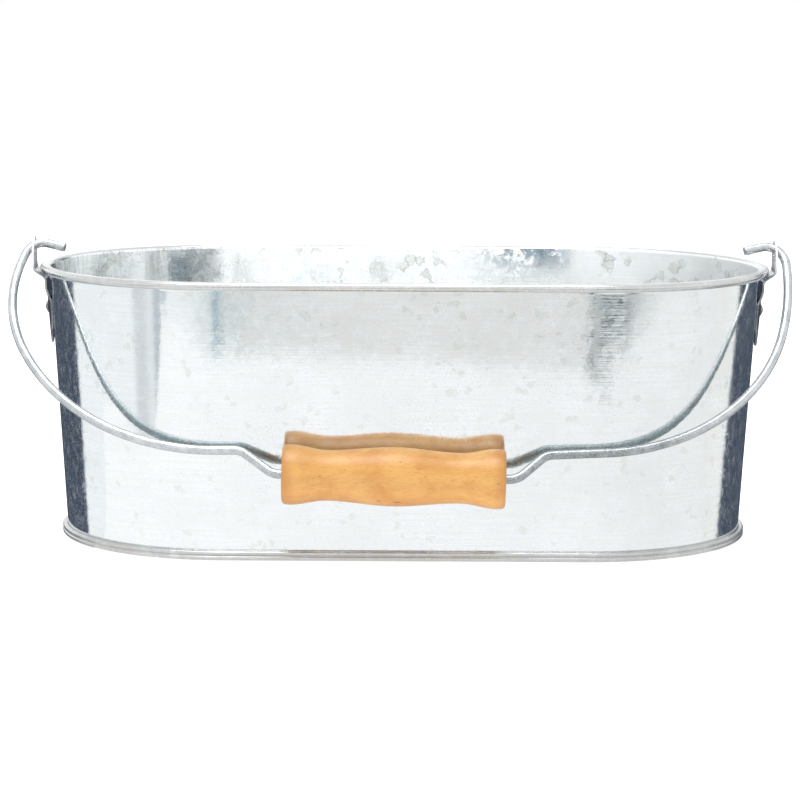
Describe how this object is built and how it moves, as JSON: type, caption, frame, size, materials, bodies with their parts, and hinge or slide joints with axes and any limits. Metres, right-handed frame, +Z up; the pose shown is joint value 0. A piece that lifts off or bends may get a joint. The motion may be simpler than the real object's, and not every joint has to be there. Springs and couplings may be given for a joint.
{
  "type": "florist bucket",
  "caption": "Oval galvanised steel florist's bucket with a rolled rim, riveted ears and a swinging wire bail that carries a turned wooden grip.",
  "frame": {"origin": "middle of the tub's foot, on the surface it stands on", "axes": "+Z up, +X along the long side, the resting bail on the -Y side"},
  "size_m": [0.3392, 0.1818, 0.1292],
  "materials": {
    "galvanised_sheet": "bright galvanised, semi-gloss",
    "steel_wire": "galvanised, satin",
    "turned_wood": "satin"
  },
  "bodies": {
    "tub": {"wall": "galvanised_sheet", "rim_wire": "steel_wire", "base_pan": "galvanised_sheet", "ear_left": "galvanised_sheet", "ear_right": "galvanised_sheet", "rivet_left": "steel_wire", "rivet_right": "steel_wire"},
    "bail": {"bail": "steel_wire"},
    "grip": {"grip": "turned_wood"}
  },
  "joints": [
    {"name": "bail_swing", "type": "hinge", "parent": "tub", "child": "bail", "pos_m": [0, 0, 0.1251], "axis": [-1, 0, 0], "range_deg": [0, 270]},
    {"name": "grip_spin", "type": "hinge", "parent": "bail", "child": "grip", "pos_m": [-0.0045, -0.08662, 0.03848], "axis": [0.9998, -0.0148, -0.0148], "continuous": true}
  ]
}
